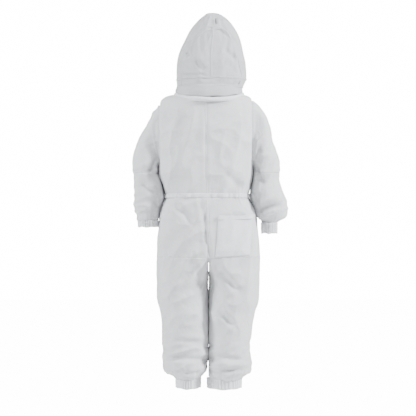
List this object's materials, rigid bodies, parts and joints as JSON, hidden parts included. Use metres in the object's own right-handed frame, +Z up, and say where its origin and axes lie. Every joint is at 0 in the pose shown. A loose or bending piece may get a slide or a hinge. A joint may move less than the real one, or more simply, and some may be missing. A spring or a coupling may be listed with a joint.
{
  "type": "beekeeping suit",
  "caption": "Hooded one-piece beekeeping suit with a mesh face veil, zipped neck and front, elastic waist, cuffs and ankles and patch pockets",
  "frame": {"origin": "centre of the neck ring, where the wearer's neck passes, level with the collar seam", "axes": "+Z up along the body, +Y towards the wearer's back, +X towards the wearer's left"},
  "size_m": [0.6825, 0.3917, 1.652],
  "materials": {
    "cloth": "white cotton twill, slightly bluish",
    "trim": "white cotton, turned and stitched",
    "elastic": "woven white elastic",
    "zip_tape": "white woven tape",
    "zip_teeth": "moulded white plastic",
    "zip_metal": "nickelled, lightly worn",
    "veil": "fine black open mesh",
    "hoop": "springy white plastic strip"
  },
  "bodies": {
    "suit": {"front_panel_left": "cloth", "front_panel_right": "cloth", "back_panel_left": "cloth", "back_panel_right": "cloth", "hip_front_left": "cloth", "hip_front_right": "cloth", "hip_back_left": "cloth", "hip_back_right": "cloth", "crotch_yoke": "cloth", "thigh_left": "cloth", "thigh_right": "cloth", "waist_casing": "trim", "collar_band": "trim", "chest_pocket": "trim", "back_pocket": "trim", "back_pocket_hem": "trim", "placket_left": "trim", "placket_right": "trim", "waist_elastic": "elastic", "main_zip_tape_left": "zip_tape", "main_zip_tape_right": "zip_tape", "neck_zip_tape": "zip_tape", "main_zip_teeth_left": "zip_teeth", "main_zip_teeth_right": "zip_teeth", "neck_zip_teeth": "zip_teeth", "main_zip_stop": "zip_teeth"},
    "hood": {"hood_back_left": "cloth", "hood_back_right": "cloth", "hood_crown": "cloth", "hood_neck_panel": "cloth", "chin_bib": "cloth", "front_hoop_casing": "trim", "rear_hoop_casing": "trim", "hood_zip_tape": "zip_tape", "hood_zip_teeth": "zip_teeth", "face_veil": "veil", "front_hoop": "hoop", "rear_hoop": "hoop"},
    "main_slider_body": {"main_slider": "zip_metal"},
    "main_pull_body": {"main_pull": "zip_metal"},
    "neck_slider_left_body": {"neck_slider_left": "zip_metal"},
    "neck_pull_left_body": {"neck_pull_left": "zip_metal"},
    "sleeve_left": {"upper_sleeve_left": "cloth"},
    "forearm_left": {"lower_sleeve_left": "cloth", "cuff_left_casing": "trim", "cuff_left_elastic": "elastic"},
    "shin_left_body": {"shin_left": "cloth", "ankle_left_casing": "trim", "ankle_left_elastic": "elastic"},
    "neck_slider_right_body": {"neck_slider_right": "zip_metal"},
    "neck_pull_right_body": {"neck_pull_right": "zip_metal"},
    "sleeve_right": {"upper_sleeve_right": "cloth"},
    "forearm_right": {"lower_sleeve_right": "cloth", "cuff_right_casing": "trim", "cuff_right_elastic": "elastic"},
    "shin_right_body": {"shin_right": "cloth", "ankle_right_casing": "trim", "ankle_right_elastic": "elastic"}
  },
  "joints": [
    {"name": "hood_tilt", "type": "hinge", "parent": "suit", "child": "hood", "pos_m": [0, 0.143, 0.022], "axis": [-1, 0, 0], "range_deg": [0, 110]},
    {"name": "main_zip", "type": "slide", "parent": "suit", "child": "main_slider_body", "axis": [0, 0, -1], "range_m": [0, 0.59]},
    {"name": "main_pull_swing", "type": "hinge", "parent": "main_slider_body", "child": "main_pull_body", "pos_m": [0, -0.1622, -0.033], "axis": [-1, 0, 0], "range_deg": [0, 120]},
    {"name": "neck_zip_left", "type": "hinge", "parent": "suit", "child": "neck_slider_left_body", "pos_m": [0, 0, 0.0208], "axis": [0, 0, 1], "range_deg": [0, 125]},
    {"name": "neck_pull_swing_left", "type": "hinge", "parent": "neck_slider_left_body", "child": "neck_pull_left_body", "pos_m": [0.01283, -0.14664, 0.02075], "axis": [-0.9962, -0.0872, 0], "range_deg": [0, 120]},
    {"name": "neck_zip_right", "type": "hinge", "parent": "suit", "child": "neck_slider_right_body", "pos_m": [0, 0, 0.0208], "axis": [0, 0, -1], "range_deg": [0, 125]},
    {"name": "neck_pull_swing_right", "type": "hinge", "parent": "neck_slider_right_body", "child": "neck_pull_right_body", "pos_m": [-0.01283, -0.14664, 0.02075], "axis": [-0.9962, 0.0872, 0], "range_deg": [0, 120]},
    {"name": "arm_raise_left", "type": "hinge", "parent": "suit", "child": "sleeve_left", "pos_m": [0.2165, -0.006, -0.034], "axis": [0, -1, 0], "range_deg": [0, 75]},
    {"name": "arm_raise_right", "type": "hinge", "parent": "suit", "child": "sleeve_right", "pos_m": [-0.1875, -0.006, -0.022], "axis": [0, 1, 0], "range_deg": [0, 75]},
    {"name": "elbow_left", "type": "hinge", "parent": "sleeve_left", "child": "forearm_left", "pos_m": [0.275, -0.087, -0.3515], "axis": [-1, 0, 0], "range_deg": [0, 110]},
    {"name": "elbow_right", "type": "hinge", "parent": "sleeve_right", "child": "forearm_right", "pos_m": [-0.255, -0.089, -0.3515], "axis": [-1, 0, 0], "range_deg": [0, 110]},
    {"name": "knee_left", "type": "hinge", "parent": "suit", "child": "shin_left_body", "pos_m": [0.11, 0.119, -0.9315], "axis": [1, 0, 0], "range_deg": [0, 100]},
    {"name": "knee_right", "type": "hinge", "parent": "suit", "child": "shin_right_body", "pos_m": [-0.105, 0.119, -0.9315], "axis": [1, 0, 0], "range_deg": [0, 100]}
  ]
}
